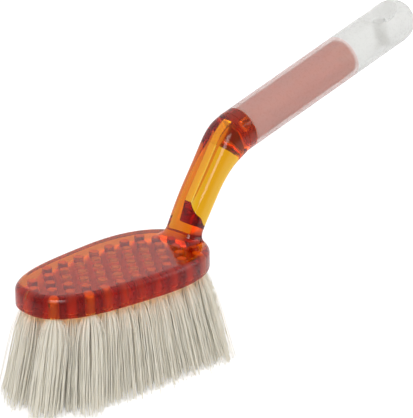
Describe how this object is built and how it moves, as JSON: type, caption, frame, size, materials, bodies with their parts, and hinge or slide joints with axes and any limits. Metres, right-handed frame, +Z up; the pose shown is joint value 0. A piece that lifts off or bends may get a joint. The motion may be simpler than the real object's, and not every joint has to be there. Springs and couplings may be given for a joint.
{
  "type": "scrub brush",
  "caption": "Hand scrub brush: clear amber head and cranked neck in one piece, frosted tubular grip with a hanging hole, and splayed tufts of pale bristle.",
  "frame": {"origin": "on the surface that the bristle tips stand on, under the middle of the brush's whole length", "axes": "+X from the head towards the grip's tip, +Z up out of the head's flat top"},
  "size_m": [0.3024, 0.0662, 0.1665],
  "materials": {
    "amber": "clear amber acrylic, polished",
    "sleeve": "translucent frosted plastic",
    "bristle": "natural nylon monofilament, satin",
    "wire": "flat drawn wire"
  },
  "bodies": {
    "root": {"brush_body": "amber", "grip_sleeve": "sleeve", "tuft_band_01": "bristle", "tuft_band_02": "bristle", "tuft_band_03": "bristle", "tuft_band_04": "bristle", "tuft_band_05": "bristle", "tuft_band_06": "bristle", "tuft_band_07": "bristle", "tuft_band_08": "bristle", "tuft_band_09": "bristle", "tuft_band_10": "bristle", "anchor_band_01": "wire", "anchor_band_02": "wire", "anchor_band_03": "wire", "anchor_band_04": "wire", "anchor_band_05": "wire", "anchor_band_06": "wire", "anchor_band_07": "wire", "anchor_band_08": "wire", "anchor_band_09": "wire", "anchor_band_10": "wire"}
  },
  "joints": []
}
